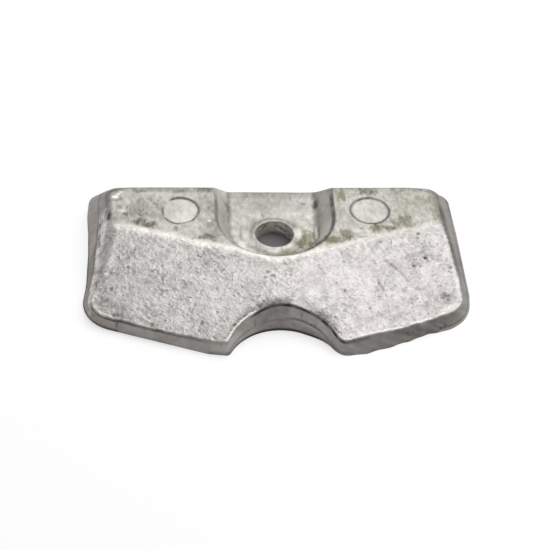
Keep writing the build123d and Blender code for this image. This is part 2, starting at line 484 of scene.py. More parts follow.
def over_casting(x, y, z):
    """Height over the whole casting's smooth surface, and below 0 inside it."""
    height = rounded(
        over_sides(x, y, z), over_top(x, y, z), top_edge(x, y), TOP_EDGE_COSINE)
    height = rounded(height, -over_pocket(x, y, z), POCKET_RIM, sin(POCKET_DRAFT))
    return rounded(height, HOLE_RADIUS - np.hypot(x, y), HOLE_EDGE, 0.0)


def surface(x, y):
    """Height of the smooth surface at each point seen from above, found by halving."""
    low, high = np.full(x.shape, -3.0), np.full(x.shape, HEIGHT + 1)
    for _ in range(21):
        middle = (low + high) / 2
        inside = over_casting(x, y, middle) < 1e-6
        low, high = np.where(inside, middle, low), np.where(inside, high, middle)
    return low


def outline():
    """The casting's edge on the mounting face, in even steps, found along rays by halving."""
    centre, rays, beyond = 6.0, 6000, 75.0
    angle = np.linspace(0, 2 * pi, rays, endpoint=False)
    near_side, far_side = np.zeros(rays), np.full(rays, beyond)
    for _ in range(30):
        reach = (near_side + far_side) / 2
        x, y = reach * np.cos(angle), centre + reach * np.sin(angle)
        inside = over_sides(x, y, 0.0) < 0
        near_side = np.where(inside, reach, near_side)
        far_side = np.where(inside, far_side, reach)
    x, y = near_side * np.cos(angle), centre + near_side * np.sin(angle)
    x, y = np.append(x, x[0]), np.append(y, y[0])
    run = np.append(0, np.cumsum(np.hypot(np.diff(x), np.diff(y))))
    even = np.linspace(0, run[-1], int(run[-1] / EDGE_STEP), endpoint=False)
    return np.stack([np.interp(even, run, x), np.interp(even, run, y)], 1)


def lattice():
    """Points over the whole block with their heights, dense only where the surface bends."""
    rise = FINE * sqrt(0.75)
    columns, rows = int(2 * HALF_WIDTH / FINE) + 2, int((APEX + BACK) / rise) + 2
    j, i = np.mgrid[0:rows, 0:columns]
    x, y = (i + j % 2 / 2) * FINE - HALF_WIDTH, j * rise - APEX
    inside = over_sides(x, y, 0.0) < -EDGE_MARGIN
    inside &= np.hypot(x, y) > HOLE_RADIUS + EDGE_MARGIN
    z = np.zeros(x.shape)
    z[inside] = surface(x[inside], y[inside])

    along = np.roll(z, 1, 1) + np.roll(z, -1, 1) - 2 * z
    across = (np.roll(z, 2, 0) + np.roll(z, -2, 0) - 2 * z) / 3
    steep = ((np.roll(z, 1, 1) - np.roll(z, -1, 1)) / (2 * FINE))**2
    steep += ((np.roll(z, 2, 0) - np.roll(z, -2, 0)) / (4 * rise))**2
    bend = np.hypot(along, across) / FINE / (1 + steep)
    third = (i - j // 2 - j) % 3 == 0
    kept = inside & (third | (bend > BEND) | (steep > WALL_STEEPNESS))
    return np.stack([x[kept], y[kept], z[kept]], 1)


# ---------------------------------------------------------------- flaws of the casting

def grain_height(x, y):
    """The grain of the rough shoulders, about 0 and mostly within 0.5 of it."""
    lumps, grains = scatter(x, y, 2.2, seed=2), scatter(x, y, 1.0, seed=3)
    return 0.25 * lumps + 0.4 * grains + 0.5 * scatter(x, y, 0.5, seed=4) - 0.575


def crowding(x, y):
    """1 where the grains of the shoulders crowd and stand out, and 0 where they are few."""
    return ease(scatter(x, y, 5.0, seed=65), 0.25, 0.75)


def skins(x, y, z):
    """Which skin the metal has: the rough one of the shoulders, and that of the sides.

    The upper part of the left end is as rough as the shoulder that it bends down from.
    """
    sides, top, pocket = over_sides(x, y, z), over_top(x, y, z), over_pocket(x, y, z)
    ragged = 0.1 * (scatter(x, y, 1.3, seed=31) - 0.5)
    on_side = ease(sides - top, -0.1, 0.25) * ease(pocket, 0.0, 0.3)
    left_end = ease(-x, 42.0, 44.0) * ease(z - np.interp(y, *LEFT_LEDGE), -0.1, 0.5)
    left_end *= ease(-y, -6, -2) * ease(y, -26.5, -24)
    shoulder = ease(past_ridge(x, y, z) + ragged, -0.05, 0.12) * ease(pocket, 0.2, 0.8)
    return np.maximum(shoulder * (1 - on_side), left_end), on_side * (1 - left_end)


def relief(x, y, z):
    """The unevenness of the cast surface, in mm, which adds to its height."""
    rough, _ = skins(x, y, z)
    height = SWELL * (scatter(x, y, 9.0, seed=1) - 0.7)
    height = height + RIPPLE * (scatter(x, y, 2.6, seed=5) - 0.6)
    everywhere, crowded = GRAIN_DEPTH
    height = height + (everywhere + crowded * crowding(x, y)) * grain_height(x, y) * rough
    crest = near(over_sides(x, y, z), -4.0, 2.2) * ease(-x, 38, 42) * ease(-y, 4, 8)
    height = height - LEFT_CREST_DEPTH * crest
    for px, py, wide, deep, low in DENTS:
        height -= low * ease(-np.hypot((x - px) / wide, (y - py) / deep), -1.0, -0.3)
    return height * ease(z, 0.0, 0.8)


def from_mark(x, y):
    """Distance from the middle of the nearer pin mark."""
    aside = np.abs(x) - MARK_X
    squash = np.where((x < 0) & (aside > 0), LEFT_MARK_SQUASH, 1.0)
    return np.hypot(aside * squash, y - MARK_Y)


def groove_open(x, y):
    """How open the groove round a pin mark is: whole on the right, broken on the left."""
    turn = np.degrees(np.arctan2(y - MARK_Y, np.abs(x) - MARK_X) * np.where(x < 0, 1, -1))
    turn = np.where(x < 0, np.where(turn > 0, 180 - turn, -180 - turn), -turn)
    return np.where(x < 0, np.interp(turn, *LEFT_GROOVE), np.interp(turn, *RIGHT_GROOVE))


def pin_marks(x, y):
    """Depth of the two sunk discs and of the groove that each pin left around itself."""
    reach = from_mark(x, y)
    depth = MARK_DEPTH * ease(-reach, -MARK_RADIUS, 0.2 - MARK_RADIUS)
    return depth + GROOVE_DEPTH * groove_open(x, y) * near(reach, MARK_RADIUS, 0.32)


def hollows(x, y):
    """Depth of the pits that gas and grit left in the shoulders, and of the scratches."""
    rng = np.random.RandomState(21)
    depth = np.zeros(x.shape)
    for _ in range(PIT_COUNT):
        px, py = rng.uniform(-46, 46), rng.uniform(-40, -4)
        size, deep, lean = rng.uniform(0.25, 0.6), rng.uniform(0.08, 0.24), rng.uniform(0.6, 1.0)
        close = np.hypot(x - px, y - py) < size
        depth[close] += deep * near(np.hypot(x[close] - px, (y[close] - py) / lean), 0, size)
    for px, py, wide, deep, low in PITS:
        depth += low * near(np.hypot((x - px) / wide, (y - py) / deep), 0, 1)
    return depth + SCRATCH_DEPTH * scratches(x, y)


def scratches(x, y):
    """How deep in a scratch each point lies, from 0 to 1."""
    deep = np.zeros(x.shape)
    for (ax, ay), (bx, by) in SCRATCHES:
        run = np.hypot(bx - ax, by - ay)
        along = ((x - ax) * (bx - ax) + (y - ay) * (by - ay)) / run
        aside = ((x - ax) * (by - ay) - (y - ay) * (bx - ax)) / run
        off = np.hypot(aside, along - np.clip(along, 0, run))
        deep = np.maximum(deep, near(off, 0, 0.45))
    return deep


def scuffs(x, y):
    """The short upright scuffs on the pads, from 0 to 1."""
    rng = np.random.RandomState(27)
    deep = np.zeros(x.shape)
    for px, py, wide, tall, count in DASHES:
        for _ in range(count):
            sx, sy = px + rng.uniform(-wide, wide), py + rng.uniform(-tall, tall)
            length, dark = rng.uniform(0.5, 1.2), rng.uniform(0.4, 1.0)
            close = (np.abs(x - sx) < 0.5) & (np.abs(y - sy) < length)
            off = np.hypot((x[close] - sx) / 0.42, (y[close] - sy) / length)
            deep[close] = np.maximum(deep[close], dark * near(off, 0, 1))
    return deep


def patches(x, y, places, fine=0.7):
    """Ragged patches: the strongest of those that reach a point."""
    ragged = fine * (scatter(x, y, 0.9, seed=41) - 0.5)
    ragged = ragged + fine * (scatter(x, y, 0.45, seed=42, stretch=3.0) - 0.5)
    total = np.zeros(x.shape)
    for px, py, wide, deep, strength in places:
        reach = np.hypot((x - px) / wide, (y - py) / deep) + ragged
        total = np.maximum(total, strength * ease(-reach, -1.2, -0.5))
    return total


def shades(x, y, places):
    """Paler and darker areas with soft edges, added up."""
    return sum(tone * near(x, px, wide) * near(y, py, deep) for px, py, wide, deep, tone in places)


# ---------------------------------------------------------------- marks on the metal

def zones(x, y, z):
    """How far each point lies in each zone of the casting, and its heights over the faces."""
    at = SimpleNamespace(x=x, y=y, z=z)
    at.sides, at.top, at.pocket = over_sides(x, y, z), over_top(x, y, z), over_pocket(x, y, z)
    at.rough, at.side = skins(x, y, z)
    at.from_bolt, at.from_mark = np.hypot(x, y), from_mark(x, y)
    in_pocket = ease(-at.pocket, -0.3, 0.1)
    at.floor = in_pocket * ease(-z, -4.6, -4.1)
    at.wall = in_pocket * ease(z, 4.2, 5.0)
    at.hole = (at.from_bolt < 1.03 * HOLE_RADIUS) * ease(-z, -3.95, -3.7)
    at.smooth = (1 - at.rough) * (1 - at.side)
    at.pad = at.smooth * (1 - in_pocket)
    at.notch = np.hypot(x, y - NOTCH_CENTRE) < NOTCH_RADIUS + NOTCH_WALL
    return at


def shoulder_tone(at):
    """Grain, pits and slow changes of the rough shoulders, and their dark edge by the notch."""
    x, y = at.x, at.y
    crowd = crowding(x, y)
    tone = (0.17 + 0.34 * crowd) * grain_height(x, y) - 0.05 * crowd
    tone += 0.16 * (scatter(x, y, 3.0, seed=66) - 0.5) + np.interp(x, *SHOULDER_TONES)
    tone -= np.interp(x, *NOTCH_BORDER_DARK) * ease(at.sides, -2.3, -0.6) * ease(-y, 24, 27)
    tone -= 0.25 * near(np.hypot(x - 43.0, y + 25.0), 0.0, 3.2)
    return at.rough * tone - 1.8 * hollows(x, y)


def pocket_tone(at):
    """The pocket's pale walls, its floor with a line around the root, and the hole, coloured
    lighter as painted light.
    """
    x, y, z = at.x, at.y, at.z
    from_round_end = np.hypot(x - 1.5, y - POCKET_CENTRE)
    floor = 0.09 + 0.12 * ease(x, 4, 10) - 0.17 * ease(y, 14.0, 15.0)
    floor -= 0.5 * near(from_round_end, 9.1, 1.7) * ease(-y, 3, 6)
    right = np.interp(y, *RIGHT_WALL_TONES) - 0.3 * ease(z, 7.0, 9.5)
    wall = np.where(x < 0, LEFT_WALL_TONE, right) * ease(y, -13, -6)
    # Painted light on the hole's wall, where it lies in shade
    hole = 0.42 + 0.5 * (scatter(x * 2, z * 2, 1.1, seed=73) - 0.5)
    return at.floor * floor + at.wall * wall + at.hole * hole


def pad_tone(at):
    """The pads: pale pin marks, a darker back strip and ends, and mottled skin."""
    x, y = at.x, at.y
    mottle = 0.15 * (scatter(x, y, 2.1, seed=61) - 0.5)
    mottle += 0.2 * (scatter(x, y, 0.8, seed=62, stretch=1.5) - 0.5)
    mottle *= 1 - 0.5 * at.floor - 0.75 * at.wall
    skin = mottle + 0.16 * (scatter(x, y, 6.0, seed=63) - 0.5)
    disc = np.where(x < 0, 0.18, 0.04) * ease(-at.from_mark, -MARK_RADIUS, 0.3 - MARK_RADIUS)
    pad = shades(x, y, PAD_SHADES) - 0.14 * ease(np.abs(x), 40.0, 43.0)
    pad -= np.where(x < 0, 0.18 * ease(y, 9.2, 10.4), 0.14 * ease(y, 9.8, 11.0))
    pad -= 0.1 * near(x, -17.5, 2.5) + 0.16 * near(x, -14.8, 3.2) * ease(-y, -8, -4)
    pad += 0.07 * (x < -20) + 0.05 * (x > 20) - 0.05 * (x > 0)
    return at.smooth * skin + disc + at.pad * pad


def left_end_tone(at):
    """The hollow left end: glinting grain with a painted highlight along its crest, dark lines
    along its ledge, and the border above.
    """
    x, y, z = at.x, at.y, at.z
    border = near(at.sides, -2.4, 2.2) * np.interp(y, *LEFT_BORDER_TONES)
    border += 0.12 * near(at.sides, -0.5, 0.8) * ease(y, -27, -23)
    border -= 0.35 * near(at.sides, -0.7, 1.4) * ease(-y, 27, 29)
    border += 0.3 * (scatter(x, y, 0.45, seed=77) - 0.5)
    tone = at.rough * ease(-x, 36, 41) * border

    rise = z - np.interp(y, *LEFT_LEDGE)
    # Painted highlight with glinting grain along the crest
    crest = near(rise, np.interp(y, *LEFT_CREST), 2.0) * ease(-x, 40.5, 42.0) * ease(-y, -3, 0)
    crest *= (1 - at.side) * ease(at.sides, -0.8, -0.2)
    tone += crest * (0.05 + 0.3 * scatter(x, y, 0.6, seed=75))
    on_end = at.rough * ease(-x, 41, 43) * ease(at.sides, -1.2, -0.3)
    tone += on_end * (scatter(y, z, 0.75, seed=78) - 0.5)
    for py, level, deep, tall, line in LEFT_END_LINES:
        tone += line * near(rise, level, tall) * near(y, py, deep) * ease(-x, 42.0, 43.0)
    tone += (1 - at.side) * shades(x, y, LEFT_BORDER_SHADES)
    return tone + shades(x, y, LEFT_END_SHADES)


def side_tone(at):
    """The drafted sides, with painted light and shade along their length, and drag marks up the
    front.
    """
    x, y, z = at.x, at.y, at.z
    tone = np.interp(x, *SIDE_TONES) + (x < -42) * np.interp(y, *LEFT_SIDE_TONES)
    tone += 0.2 * (scatter(x, y, 4.0, seed=64, stretch=0.5) - 0.5)
    tone += 0.22 * (scatter(x + 0.7 * z, y + z, 1.3, seed=68) - 0.5)
    drag = 0.34 * (scatter(x + 2.4 * z, y * 0, 1.3, seed=67) - 0.5)
    tone += drag * ease(x, 14, 18) * ease(-x, -44, -40) * ease(-y, 0, 4)

    # In the notch, painted light above the ledge, and painted shade below it and at the foot
    level = z - np.interp(x, *NOTCH_LEDGE)
    wall = 0.16 * ease(level, 0.4, 0.8) - 0.1 * ease(-level, 0.2, 0.6) - 0.16 * ease(-z, -1.8, -0.8)
    wall *= near(np.hypot(x, y - NOTCH_CENTRE), NOTCH_RADIUS + NOTCH_WALL / 2, 6.0)
    tone += wall * ease(x, 1.0, 4.0) * ease(-x, -12.0, -9.0)

    # The right end, with painted shade under its top edge, and pale at its foot
    right = 0.1 - 0.12 * near(y, -9.0, 6.0)
    right -= 0.4 * near(at.top, -1.7, 2.6) * ease(y, -19, -15) * ease(-y, -8, -2)
    right += 0.2 * ease(-z, -1.6, -0.9) * ease(-y, 18, 22)
    return at.side * (tone + right * ease(x, 40, 43))


def rubbed_and_lit_marks(at):
    """Where the metal is bright: rubbed on the ridge, the edges and small nicks, and painted light.

    Painted glints lie on some nicks, painted highlights on the left front corner and its facet,
    and painted light on the hole's wall.
    """
    x, y, z = at.x, at.y, at.z
    off_ridge = past_ridge(x, y, z) - np.interp(x, *RIDGE_SHIFT)
    off_ridge += 0.16 * (scatter(x, y, 2.2, seed=32) - 0.5)
    off_ridge += 0.08 * (scatter(x, y, 0.8, seed=35) - 0.5)
    ridge = near(off_ridge, 0, np.where(x < -8, 0.46, 0.34)) * ease(at.pocket, 0.1, 0.4)
    ridge *= 0.65 + 0.35 * ease(scatter(x, y, 2.4, seed=37), 0.25, 0.65)
    ridge *= np.interp(x, *RIDGE_WEAR)

    ragged = 0.3 + 0.7 * ease(scatter(x, y, 0.9, seed=34), 0.2, 0.6)
    front = near(at.sides, -0.15, 0.4) * ease(-y, 14, 18) * np.interp(x, *FRONT_WEAR)
    right = 0.25 * near(at.sides, -0.9, 0.8) * ease(x, 38, 41) * ease(-y, 2, 6)
    left = 0.2 * near(at.sides, -1.15, 0.8) * ease(-x, 38, 41) * ease(-y, 1, 6)
    # Painted light on the hole's wall
    hole_light = at.hole * (0.6 + 0.4 * ease(scatter(x * 3, z * 2, 1.0, seed=74), 0.62, 0.8))
    nicks = patches(x, y, NICKS_AND_GLINTS, fine=0.3)
    edges = np.maximum.reduce([front, right, left]) * ragged
    on_top = np.maximum.reduce([ridge, edges, nicks, hole_light])

    # Painted highlights on the left front corner and on the small facet that a knock left below it
    corner = 0.8 * near(at.sides, -0.2, 0.45) * ease(at.top, -0.4, -0.15)
    corner *= ease(-x, 39, 42) * ease(-y, 23, 25)
    from_facet = np.hypot((x + 47.0 + 0.2 * z) / 0.7, (y + 26.6) / 1.3)
    facet = 0.8 * near(from_facet, 0, 1) * ease(z, 0.6, 1.2) * ragged
    return np.maximum.reduce([on_top * (1 - at.side), corner, facet])


def dark_marks_and_rim_shade(at):
    """Dark marks in the grooves, around the hole, in scuffs and spots, and painted shade along the
    pocket's rim.
    """
    x, y, z = at.x, at.y, at.z
    groove = 0.85 * near(at.from_mark, MARK_RADIUS + 0.05, 0.75) * groove_open(x, y)
    # Painted shade along the pocket's rim
    rim = 0.9 * near(at.pocket, -0.1, 0.5) * ease(z, 8.4, 9.2) * ease(-y, -12, -8)
    rim *= 0.5 + 0.5 * ease(scatter(x, y, 2.5, seed=38), 0.2, 0.6)
    rim *= np.where(x < 0, 0.7, 1.0)
    ring = 0.35 * near(at.from_bolt, HOLE_RADIUS + 0.5, 0.9) * at.floor
    ring *= ease(scatter(x, y, 1.4, seed=36), 0.45, 0.75)
    lip = 0.5 * near(at.from_bolt, HOLE_RADIUS, 0.6) * ease(z, 3.2, 3.7)
    lip *= (0.5 + 0.5 * scatter(x, y, 1.2, seed=76)) * (at.from_bolt < BOSS_RADIUS)
    spots = patches(x, y, DARK_SPOTS, fine=0.25)
    return np.maximum.reduce([groove, rim, ring, lip, 0.65 * scuffs(x, y) * at.pad, spots])


def painted_brow_shade(at):
    """Painted shade on the sides just under the top."""
    x, y = at.x, at.y
    at_front = ease(-y, 8, 14)
    brow = np.interp(x, *BROW_SHADE) * (0.6 + 0.5 * ease(scatter(x, y, 1.6, seed=39), 0.2, 0.7))
    return brow * at_front + 0.35 * ease(x, 38, 41) * ease(-y, -12, -4) * (1 - at_front)


def painted_contact_shadow(at):
    """Painted contact shadow on the sides just over the mounting face."""
    elsewhere = np.where(at.x < -40, LEFT_CONTACT_SHADOW, PLAIN_CONTACT_SHADOW)
    foot = np.where(at.notch, np.interp(at.x, *NOTCH_CONTACT_SHADOW), elsewhere)
    return foot * ease(-at.y, -8, 0)


def ledge_light_and_shade(at):
    """How plain the painted highlight on each ledge's step and the painted shade in its crease are.
    """
    x, y = at.x, at.y
    notch = np.maximum(ease(x, 0.0, 4.0) * ease(-x, -12.5, -9.0), 0.4 * ease(-x, 5.0, 8.0))
    left = 0.4 * ease(-x, 45.0, 46.0) * near(y, 5.0, 5.0)
    return np.where(at.notch, notch, np.where(x > 40, ease(-y, -14, -11), left))


def surface_marks(x, y, z):
    """What the material reads at each point: mostly how much of a finish, of painted light and of
    painted shade there is, from 0 to 1.
    """
    at = zones(x, y, z)
    tone = PLAIN_TONE + shoulder_tone(at) + pocket_tone(at) + pad_tone(at)
    tone += left_end_tone(at) + side_tone(at)
    streaky = 0.65 + 0.35 * ease(scatter(x, y, 0.5, seed=43, stretch=5.0), 0.3, 0.6)
    on_disc = ease(-at.from_mark, -MARK_RADIUS, 0.5 - MARK_RADIUS)
    end_ledge = np.where(x < 0, np.interp(y, *LEFT_LEDGE), np.interp(y, *RIGHT_LEDGE))
    return {
        "rough": at.rough,
        "side": at.side,
        "tone": np.clip(tone, 0, 1),
        # rubbed metal, painted glints and highlights, and painted light in the hole
        "wear_and_highlight": rubbed_and_lit_marks(at),
        # dark marks, and painted shade along the pocket's rim
        "grime_and_shade": dark_marks_and_rim_shade(at),
        "stain": patches(x, y, STAINS) * at.smooth * streaky,
        # painted shade under the top of the sides
        "brow": at.side * painted_brow_shade(at),
        # painted contact shadow at the foot of the sides
        "foot": at.side * painted_contact_shadow(at),
        "joint": at.side * ledge_light_and_shade(at),
        "calm": np.maximum(0.8 * at.wall * ease(x, 0, 2), 0.5 * on_disc),
        "depth": -at.top,
        "height": z,
        "ledge": z - np.where(at.notch, np.interp(x, *NOTCH_LEDGE), end_ledge),
    }


# ---------------------------------------------------------------- mesh of the casting

def hole_wall(turns, share):
    """Where the rough wall of the hole lies, as a share of its radius, at one level."""
    rough = scatter(turns * 5, share * 5 + 0 * turns, 1.2, seed=71) - 0.5
    rough += 0.5 * (scatter(turns * 5, share * 5 + 0 * turns, 0.5, seed=72) - 0.5)
    return (1 + HOLE_ROUGHNESS * rough * ease(1 - share, 0.0, 0.2) * ease(share, 0.0, 0.2))[:, None]


def net(points, chosen, loops, outer, inner):
    """Triangles between the outline and the hole, which are the first points chosen."""
    flat = [Vector(point) for point in points[chosen]]
    made = delaunay_2d_cdt(flat, loops, [], 1, 1e-7)
    numbers = np.array([group[0] for group in made[3]])[np.array(made[2])]
    in_hole = ((numbers >= outer) & (numbers < outer + inner)).all(1)
    return [tuple(face) for face in chosen[numbers[~in_hole]].tolist()]


def make_casting():
    """The casting's mesh: the surface from above, the hole's wall and the flat underside."""
    edge = outline()
    turns = np.linspace(0, 2 * pi, int(2 * pi * HOLE_RADIUS / EDGE_STEP), endpoint=False)
    hole = HOLE_RADIUS * np.stack([np.cos(turns), np.sin(turns)], 1)
    upper = lattice()
    just_outside = 1.001
    hole_top = surface(hole[:, 0] * just_outside, hole[:, 1] * just_outside)
    depth = pin_marks(upper[:, 0], upper[:, 1]) + hollows(upper[:, 0], upper[:, 1])
    upper[:, 2] += relief(*upper.T) - depth * ease(upper[:, 2], 0.5, 1.5)
    rings = np.linspace(0, 1, HOLE_RINGS)[::-1]
    points = np.concatenate(
        [np.c_[edge, np.zeros(len(edge))]]
        + [np.c_[hole * hole_wall(turns, share), hole_top * share] for share in rings]
        + [upper]
    )

    # Seen from above, the surface is one net of triangles between the outline and the hole
    e, h = len(edge), len(hole)
    loops = [(i, (i + 1) % e) for i in range(e)] + [(e + i, e + (i + 1) % h) for i in range(h)]
    from_above = np.r_[0:e + h, e + h * HOLE_RINGS:len(points)]
    faces = net(points[:, :2], from_above, loops, e, h)
    for ring in range(HOLE_RINGS - 1):
        for i in range(h):
            a, b = e + ring * h + i, e + ring * h + (i + 1) % h
            faces.append((b, a, a + h, b + h))
    from_below = np.r_[0:e, e + h * (HOLE_RINGS - 1):e + h * HOLE_RINGS]
    faces += [face[::-1] for face in net(points[:, :2], from_below, loops, e, h)]

    mesh = bpy.data.meshes.new("cast_body")
    mesh.from_pydata((points * MM).tolist(), [], faces)
    for name, values in surface_marks(*points.T).items():
        attribute = mesh.attributes.new(name, "FLOAT", "POINT")
        attribute.data.foreach_set("value", np.asarray(values, np.float32))
    mesh.shade_smooth()
    mesh.set_sharp_from_angle(angle=SMOOTH_UP_TO)
    return mesh


# ---------------------------------------------------------------- finish

def linear(hex_colour):
    """A colour written as sRGB hex, as Blender's linear values."""
    parts = [int(hex_colour[i:i + 2], 16) / 255 for i in (0, 2, 4)]
    return [p / 12.92 if p <= 0.04045 else ((p + 0.055) / 1.055)**2.4 for p in parts] + [1.0]


def add_node(tree, kind, settings, inputs):
    """Adds a node with its settings. An input is a value, or the output that feeds it."""
    made = tree.nodes.new(kind)
    for name, value in settings.items():
        setattr(made, name, value)
    for name, value in inputs.items():
        if isinstance(value, bpy.types.NodeSocket):
            tree.links.new(value, made.inputs[name])
        else:
            made.inputs[name].default_value = value
    return made


def cast_aluminium():
    """Die-cast aluminium, as it left the mould, with rubbed edges and old stains.

    The shoulders are rough and sparkle in small facets. The pads and the
    pocket are smoother and greyer, and the drafted sides have a darker skin, partly as painted
    shade.
    """
    material = bpy.data.materials.new("cast_aluminium")
    material.use_nodes = True
    tree = material.node_tree
    tree.nodes.clear()
    place = add_node(tree, "ShaderNodeTexCoord", {}, {}).outputs["Object"]
    marks = {
        name: add_node(tree, "ShaderNodeAttribute", {"attribute_name": name}, {}).outputs["Fac"]
        for name in ("rough", "side", "tone", "wear_and_highlight", "grime_and_shade", "stain", "brow", "foot", "joint",
                     "calm", "depth", "height", "ledge")
    }

    # Grain of the shoulders, and the dark pinholes that crowd together in it
    grain = add_node(tree, "ShaderNodeTexNoise", {}, {
        "Vector": place, "Scale": 1 / (GRAIN_SIZE * MM),
        "Detail": 2.0, "Roughness": 0.5, "Distortion": 1.0})
    pinholes = add_node(tree, "ShaderNodeTexNoise", {}, {
        "Vector": place, "Scale": 1 / (PINHOLE_SPACING * MM),
        "Detail": 1.5, "Roughness": 0.55, "Distortion": 0.6})
    crowds = add_node(tree, "ShaderNodeTexNoise", {}, {
        "Vector": place, "Scale": 1 / (CROWD_SIZE * MM), "Detail": 1.0, "Roughness": 0.5})
    pinhole = add_node(tree, "ShaderNodeMapRange", {"interpolation_type": "SMOOTHSTEP"}, {
        "Value": pinholes.outputs["Fac"], "From Min": 0.59, "From Max": 0.7})
    crowded = add_node(tree, "ShaderNodeMapRange", {"interpolation_type": "SMOOTHSTEP"}, {
        "Value": crowds.outputs["Fac"], "From Min": 0.38, "From Max": 0.62, "To Min": 0.25})
    holes = pinhole.outputs[0]
    for share in (crowded.outputs[0], marks["rough"]):
        holes = add_node(tree, "ShaderNodeMath", {"operation": "MULTIPLY"}, {
            0: holes, 1: share}).outputs[0]

    # Skin of the smooth faces, drawn out a little along the pull of the mould
    drawn = add_node(tree, "ShaderNodeMapping", {}, {"Vector": place, "Scale": SKIN_DRAWN})
    skin = add_node(tree, "ShaderNodeTexNoise", {}, {
        "Vector": drawn.outputs[0], "Scale": 1 / (SKIN_SIZE * MM),
        "Detail": 3.0, "Roughness": 0.5, "Distortion": 0.8})
    grainy = add_node(tree, "ShaderNodeMath", {"operation": "MAXIMUM"}, {
        0: marks["rough"], 1: marks["side"]})
    texture = add_node(tree, "ShaderNodeMix", {"data_type": "FLOAT"}, {
        0: grainy.outputs[0], 2: skin.outputs["Fac"], 3: grain.outputs["Fac"]}).outputs[0]

    # The shade swings with the texture about the tone, less on the sides and on calm places
    swing = add_node(tree, "ShaderNodeMath", {"operation": "SUBTRACT"}, {0: texture, 1: 0.5})
    contrast = add_node(tree, "ShaderNodeMath", {"operation": "MULTIPLY_ADD"}, {
        0: marks["side"], 1: -0.48, 2: 0.78})
    contrast = add_node(tree, "ShaderNodeMath", {"operation": "MULTIPLY_ADD"}, {
        0: marks["calm"], 1: -0.6, 2: contrast.outputs[0]})
    shade = add_node(tree, "ShaderNodeMath", {"operation": "MULTIPLY_ADD"}, {
        0: swing.outputs[0], 1: contrast.outputs[0], 2: marks["tone"]})
    shade = add_node(tree, "ShaderNodeMath", {"operation": "MULTIPLY_ADD", "use_clamp": True}, {
        0: holes, 1: -0.5, 2: shade.outputs[0]})
    # The sides' skin is darker, partly as painted shade
    smooth, grit, drag = (
        add_node(tree, "ShaderNodeMix", {"data_type": "RGBA"}, {
            0: shade.outputs[0], 6: linear(darkest), 7: linear(palest)}).outputs[2]
        for darkest, palest in (SMOOTH_SKIN, ROUGH_SKIN, SIDE_SKIN_AND_SHADE))

    # Stains, grey on the left pad and olive from the pocket on, thin where the skin is low
    blotch = add_node(tree, "ShaderNodeMapRange", {}, {
        "Value": texture, "From Min": 0.3, "From Max": 0.48, "To Min": 0.8})
    stained = add_node(tree, "ShaderNodeMath", {"operation": "MULTIPLY"}, {
        0: marks["stain"], 1: blotch.outputs[0]})
    spot = add_node(tree, "ShaderNodeSeparateXYZ", {}, {0: place})
    olive = add_node(tree, "ShaderNodeMapRange", {}, {
        "Value": spot.outputs["X"], "From Min": -30 * MM, "From Max": 0.0})
    stain = add_node(tree, "ShaderNodeMix", {"data_type": "RGBA"}, {
        0: olive.outputs[0], 6: linear(GREY_STAIN), 7: linear(OLIVE_STAIN)})

    # Painted shade under the brow of the sides, and painted contact shadow at their foot, in lines
    # that follow them
    start = add_node(tree, "ShaderNodeMapRange", {"interpolation_type": "SMOOTHSTEP"}, {
        "Value": marks["depth"], "From Min": 0.05, "From Max": 0.22, "To Max": 1.0})
    end = add_node(tree, "ShaderNodeMapRange", {"interpolation_type": "SMOOTHSTEP"}, {
        "Value": marks["depth"], "From Min": 0.45, "From Max": 0.9, "To Min": 1.0, "To Max": 0.0})
    brow = start.outputs[0]
    for share in (end.outputs[0], marks["brow"]):
        brow = add_node(tree, "ShaderNodeMath", {"operation": "MULTIPLY"}, {
            0: brow, 1: share}).outputs[0]
    low = add_node(tree, "ShaderNodeMapRange", {"interpolation_type": "SMOOTHSTEP"}, {
        "Value": marks["height"], "From Min": 0.2, "From Max": 0.9, "To Min": 1.0, "To Max": 0.0})
    foot = add_node(tree, "ShaderNodeMath", {"operation": "MULTIPLY"}, {
        0: low.outputs[0], 1: marks["foot"]})

    # Each ledge has a painted highlight on its step and painted shade in the crease above it
    lines = []
    for level, half, strength in (STEP_LINE, CREASE_LINE):
        off_line = add_node(tree, "ShaderNodeMath", {"operation": "SUBTRACT"}, {
            0: marks["ledge"], 1: level})
        off_line = add_node(tree, "ShaderNodeMath", {"operation": "ABSOLUTE"}, {
            0: off_line.outputs[0]})
        line = add_node(tree, "ShaderNodeMapRange", {"interpolation_type": "SMOOTHSTEP"}, {
            "Value": off_line.outputs[0], "From Min": 0.0, "From Max": half,
            "To Min": strength, "To Max": 0.0})
        lines.append(add_node(tree, "ShaderNodeMath", {"operation": "MULTIPLY"}, {
            0: line.outputs[0], 1: marks["joint"]}).outputs[0])
    lit, crease = lines
    # Dark marks together with painted shade under the brow, at the foot and in the creases
    dirt_and_shade = marks["grime_and_shade"]
    for more in (brow, foot.outputs[0], crease):
        dirt_and_shade = add_node(tree, "ShaderNodeMath", {"operation": "MAXIMUM"}, {
            0: dirt_and_shade, 1: more}).outputs[0]

    # The skins and what lies on them, painted light and shade among it, one over the other
    colour = smooth
    for amount, layer in (
        (marks["rough"], grit),
        (marks["side"], drag),
        (stained.outputs[0], stain.outputs[2]),
        (dirt_and_shade, linear(DIRT_AND_SHADE)),
        (lit, linear(LIT_STEP)),
        (marks["wear_and_highlight"], linear(RUBBED_METAL_AND_HIGHLIGHT)),
    ):
        colour = add_node(tree, "ShaderNodeMix", {"data_type": "RGBA"}, {
            0: amount, 6: colour, 7: layer}).outputs[2]

